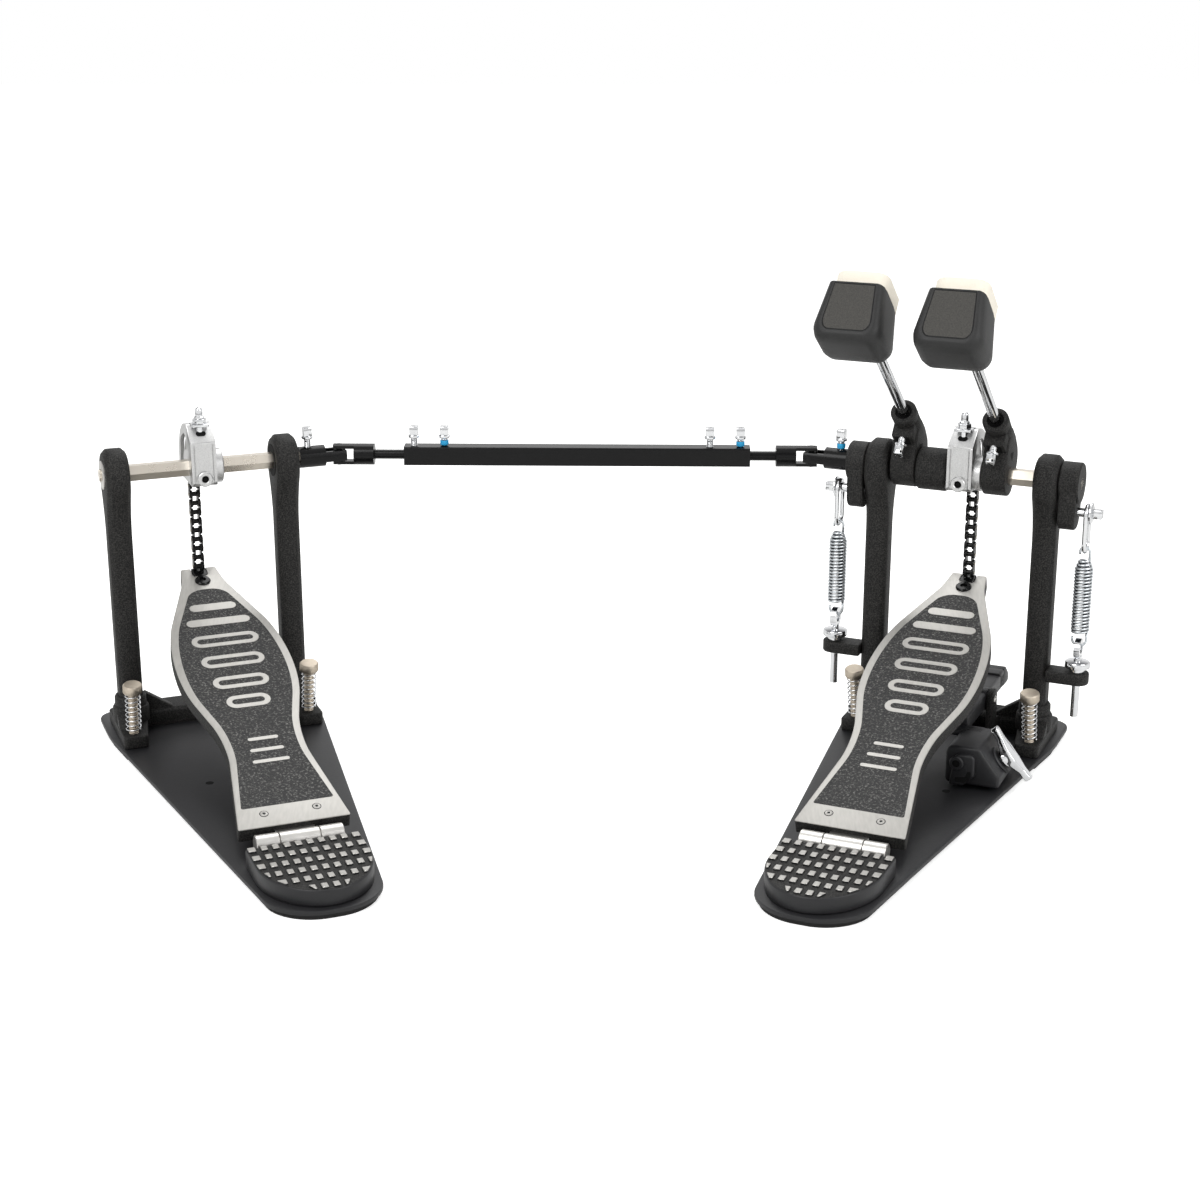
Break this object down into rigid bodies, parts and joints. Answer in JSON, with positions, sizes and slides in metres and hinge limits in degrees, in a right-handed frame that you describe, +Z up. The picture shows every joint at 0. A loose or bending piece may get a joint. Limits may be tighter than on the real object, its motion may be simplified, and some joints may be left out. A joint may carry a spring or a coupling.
{
  "type": "double bass drum pedal",
  "caption": "Chain-drive double bass drum pedal with paired footboards, felt beaters on a shared axle, tension springs and a telescoping jointed linkage.",
  "frame": {"origin": "centre of the bounding box, on the floor under the rubber soles", "axes": "+X along the linkage from the left pedal to the right pedal, +Y towards the drum, +Z up"},
  "size_m": [0.6665, 0.3738, 0.3312],
  "materials": {
    "powder_black": "textured matt powder coat",
    "plate_black": "satin black paint on sheet steel",
    "sole_rubber": "matt ribbed rubber",
    "board_casting": "cast, satin edge and dark grit top",
    "heel_casting": "black cast plate with bright squares",
    "shaft_nickel": "drawn nickel-plated bar",
    "cam_aluminium": "bead blasted",
    "chain_steel": "blackened plates and nickel rollers",
    "bright_chrome": "bright chrome",
    "spring_zinc": "zinc-plated wire",
    "joint_black": "black oxide",
    "head_plastic": "fine-grained moulded plastic",
    "head_felt": "pressed wool felt",
    "spur_nickel": "knurled nickel plate"
  },
  "bodies": {
    "right_frame": {"right_base_plate": "plate_black", "right_rubber_pads": "sole_rubber", "right_foot_casting": "powder_black", "right_posts": "powder_black", "right_heel_plate": "heel_casting", "spring_brackets": "powder_black", "eye_bolts": "bright_chrome", "right_spur_springs": "spring_zinc"},
    "right_footboard": {"right_footboard": "board_casting"},
    "right_shaft": {"right_hex_shaft": "shaft_nickel", "right_cam": "cam_aluminium", "right_chain_top": "chain_steel", "main_beater_hub": "powder_black", "main_rocker": "powder_black", "main_key_bolts": "bright_chrome"},
    "right_chain_hanging": {"right_chain_hanging": "chain_steel"},
    "right_chain_lead": {"right_chain_lead": "chain_steel"},
    "main_beater": {"main_beater_rod": "bright_chrome", "main_beater_shell": "head_plastic", "main_beater_felt": "head_felt"},
    "second_shaft": {"second_sleeve": "powder_black", "second_beater_hub": "powder_black", "second_rocker": "powder_black", "right_shaft_yoke": "joint_black", "second_key_bolts": "bright_chrome"},
    "second_beater": {"second_beater_rod": "bright_chrome", "second_beater_shell": "head_plastic", "second_beater_felt": "head_felt"},
    "main_spring": {"main_spring": "spring_zinc"},
    "main_swivel": {"main_swivel": "bright_chrome"},
    "second_spring": {"second_spring": "spring_zinc"},
    "second_swivel": {"second_swivel": "bright_chrome"},
    "main_tension_nut": {"main_tension_nut": "bright_chrome"},
    "second_tension_nut": {"second_tension_nut": "bright_chrome"},
    "right_inner_spur": {"right_inner_spur": "spur_nickel"},
    "right_outer_spur": {"right_outer_spur": "spur_nickel"},
    "left_inner_spur": {"left_inner_spur": "spur_nickel"},
    "left_outer_spur": {"left_outer_spur": "spur_nickel"},
    "clamp_lever": {"clamp_lever": "powder_black"},
    "clamp_wing_bolt": {"clamp_wing_bolt": "bright_chrome"},
    "left_frame": {"left_base_plate": "plate_black", "left_rubber_pads": "sole_rubber", "left_foot_casting": "powder_black", "left_posts": "powder_black", "left_heel_plate": "heel_casting", "left_spur_springs": "spring_zinc"},
    "left_footboard": {"left_footboard": "board_casting"},
    "left_shaft": {"left_hex_shaft": "shaft_nickel", "left_cam": "cam_aluminium", "left_chain_top": "chain_steel", "left_shaft_yoke": "joint_black", "left_key_bolts": "bright_chrome"},
    "left_chain_hanging": {"left_chain_hanging": "chain_steel"},
    "left_chain_lead": {"left_chain_lead": "chain_steel"},
    "linkage": {"linkage_tube": "joint_black", "linkage_right_rod": "joint_black", "linkage_key_bolts": "bright_chrome"},
    "linkage_left_rod": {"linkage_left_rod": "joint_black"},
    "left_cross": {"left_cross": "joint_black"},
    "right_cross": {"right_cross": "joint_black"}
  },
  "joints": [
    {"name": "right_footboard_press", "type": "hinge", "parent": "right_frame", "child": "right_footboard", "pos_m": [0.15344, -0.10901, 0.015], "axis": [-0.9149, 0.4037, 0], "range_deg": [0, 4.97], "stiffness_Nm_per_rad": 12, "springref_deg": -8.59},
    {"name": "right_shaft_turn", "type": "hinge", "parent": "right_frame", "child": "right_shaft", "pos_m": [0.24976, 0.10928, 0.1846], "axis": [-0.9149, 0.4037, 0], "range_deg": [0, 50.02]},
    {"name": "right_chain_swing", "type": "hinge", "parent": "right_footboard", "child": "right_chain_hanging", "pos_m": [0.26066, 0.13398, 0.10205], "axis": [-0.9149, 0.4037, 0], "range_deg": [-8.5, 0]},
    {"name": "right_chain_bend", "type": "hinge", "parent": "right_chain_hanging", "child": "right_chain_lead", "pos_m": [0.26066, 0.13398, 0.1846], "axis": [-0.9149, 0.4037, 0], "range_deg": [0, 16.02]},
    {"name": "right_inner_spur_drive", "type": "slide", "parent": "right_frame", "child": "right_inner_spur", "axis": [-0.075, -0.1699, 0.9826], "range_m": [-0.008, 0], "deforming": ["right_spur_springs"]},
    {"name": "right_outer_spur_drive", "type": "slide", "parent": "right_frame", "child": "right_outer_spur", "axis": [-0.075, -0.1699, 0.9826], "range_m": [-0.008, 0], "deforming": ["right_spur_springs"]},
    {"name": "left_frame_slide", "type": "slide", "parent": "right_frame", "child": "left_frame", "axis": [0.9998, -0.0204, 0], "range_m": [-0.03, 0.015]},
    {"name": "left_footboard_press", "type": "hinge", "parent": "left_frame", "child": "left_footboard", "pos_m": [-0.16526, -0.09837, 0.015], "axis": [-0.9296, -0.3684, 0], "range_deg": [0, 4.97], "stiffness_Nm_per_rad": 12, "springref_deg": -8.59},
    {"name": "left_shaft_turn", "type": "hinge", "parent": "left_frame", "child": "left_shaft", "pos_m": [-0.25317, 0.12344, 0.1846], "axis": [-0.9296, -0.3684, 0], "range_deg": [0, 50.02]},
    {"name": "left_chain_swing", "type": "hinge", "parent": "left_footboard", "child": "left_chain_hanging", "pos_m": [-0.26312, 0.14854, 0.10205], "axis": [-0.9296, -0.3684, 0], "range_deg": [-8.5, 0]},
    {"name": "left_chain_bend", "type": "hinge", "parent": "left_chain_hanging", "child": "left_chain_lead", "pos_m": [-0.26312, 0.14854, 0.1846], "axis": [-0.9296, -0.3684, 0], "range_deg": [0, 16.02]},
    {"name": "left_inner_spur_drive", "type": "slide", "parent": "left_frame", "child": "left_inner_spur", "axis": [0.0684, -0.1726, 0.9826], "range_m": [-0.008, 0], "deforming": ["left_spur_springs"]},
    {"name": "left_outer_spur_drive", "type": "slide", "parent": "left_frame", "child": "left_outer_spur", "axis": [0.0684, -0.1726, 0.9826], "range_m": [-0.008, 0], "deforming": ["left_spur_springs"]},
    {"name": "main_beater_height", "type": "slide", "parent": "right_shaft", "child": "main_beater", "axis": [-0.3181, -0.7209, 0.6157], "range_m": [-0.02, 0.012]},
    {"name": "second_shaft_turn", "type": "hinge", "parent": "right_frame", "child": "second_shaft", "pos_m": [0.24976, 0.10928, 0.1846], "axis": [-0.9149, 0.4037, 0], "range_deg": [0, 50.02]},
    {"name": "second_beater_height", "type": "slide", "parent": "second_shaft", "child": "second_beater", "axis": [-0.3181, -0.7209, 0.6157], "range_m": [-0.02, 0.012]},
    {"name": "main_spring_swing", "type": "hinge", "parent": "right_frame", "child": "main_spring", "pos_m": [0.32408, 0.07211, 0.07675], "axis": [-0.9149, 0.4037, 0], "range_deg": [-7.71, 0]},
    {"name": "main_spring_stretch", "type": "slide", "parent": "main_spring", "child": "main_swivel", "axis": [0, 0, 1], "range_m": [0, 0.01037], "deforming": ["main_spring"]},
    {"name": "main_tension_nut_turn", "type": "hinge", "parent": "right_frame", "child": "main_tension_nut", "pos_m": [0.32408, 0.07211, 0.059], "axis": [0, 0, 1], "continuous": true},
    {"name": "second_spring_swing", "type": "hinge", "parent": "right_frame", "child": "second_spring", "pos_m": [0.17221, 0.13913, 0.07675], "axis": [-0.9149, 0.4037, 0], "range_deg": [-7.71, 0]},
    {"name": "second_spring_stretch", "type": "slide", "parent": "second_spring", "child": "second_swivel", "axis": [0, 0, 1], "range_m": [0, 0.01037], "deforming": ["second_spring"]},
    {"name": "second_tension_nut_turn", "type": "hinge", "parent": "right_frame", "child": "second_tension_nut", "pos_m": [0.17221, 0.13913, 0.059], "axis": [0, 0, 1], "continuous": true},
    {"name": "clamp_lever_rock", "type": "hinge", "parent": "right_frame", "child": "clamp_lever", "pos_m": [0.26424, 0.08759, 0.035], "axis": [-0.9149, 0.4037, 0], "range_deg": [-1.5, 4]},
    {"name": "clamp_wing_turn", "type": "hinge", "parent": "clamp_lever", "child": "clamp_wing_bolt", "pos_m": [0.26571, 0.01043, 0.0215], "axis": [0.7209, -0.3181, 0.6157], "continuous": true},
    {"name": "linkage_turn", "type": "hinge", "parent": "right_frame", "child": "linkage", "pos_m": [0.15351, 0.15175, 0.1846], "axis": [-0.9998, 0.0204, 0], "range_deg": [0, 52.74]},
    {"name": "linkage_left_rod_slide", "type": "slide", "parent": "linkage", "child": "linkage_left_rod", "axis": [0.9998, -0.0204, 0], "range_m": [-0.03001, 0.01501]},
    {"name": "left_cross_swing", "type": "hinge", "parent": "left_shaft", "child": "left_cross", "pos_m": [-0.16532, 0.15826, 0.1846], "axis": [-0.3684, 0.9296, 0], "range_deg": [0, 18.63]},
    {"name": "right_cross_swing", "type": "hinge", "parent": "second_shaft", "child": "right_cross", "pos_m": [0.15351, 0.15175, 0.1846], "axis": [0.4037, 0.9149, 0], "range_deg": [-18.5, 0]}
  ],
  "couplings": [
    {"joint": "right_shaft_turn", "follows": "right_footboard_press", "ratio": 10.052},
    {"joint": "right_chain_swing", "follows": "right_footboard_press", "ratio": -1.7057},
    {"joint": "right_chain_bend", "follows": "right_footboard_press", "ratio": 3.2167},
    {"joint": "left_shaft_turn", "follows": "left_footboard_press", "ratio": 10.052},
    {"joint": "left_chain_swing", "follows": "left_footboard_press", "ratio": -1.7057},
    {"joint": "left_chain_bend", "follows": "left_footboard_press", "ratio": 3.2167},
    {"joint": "second_shaft_turn", "follows": "left_footboard_press", "ratio": 10.052},
    {"joint": "main_spring_swing", "follows": "right_footboard_press", "ratio": -1.5461},
    {"joint": "main_spring_stretch", "follows": "right_footboard_press", "m_per_rad": 0.11934},
    {"joint": "second_spring_swing", "follows": "left_footboard_press", "ratio": -1.5461},
    {"joint": "second_spring_stretch", "follows": "left_footboard_press", "m_per_rad": 0.11934},
    {"joint": "linkage_turn", "follows": "left_footboard_press", "ratio": 10.599},
    {"joint": "linkage_left_rod_slide", "follows": "left_frame_slide", "ratio": 1},
    {"joint": "left_cross_swing", "follows": "left_footboard_press", "ratio": 3.7409},
    {"joint": "right_cross_swing", "follows": "left_footboard_press", "ratio": -3.7147}
  ]
}
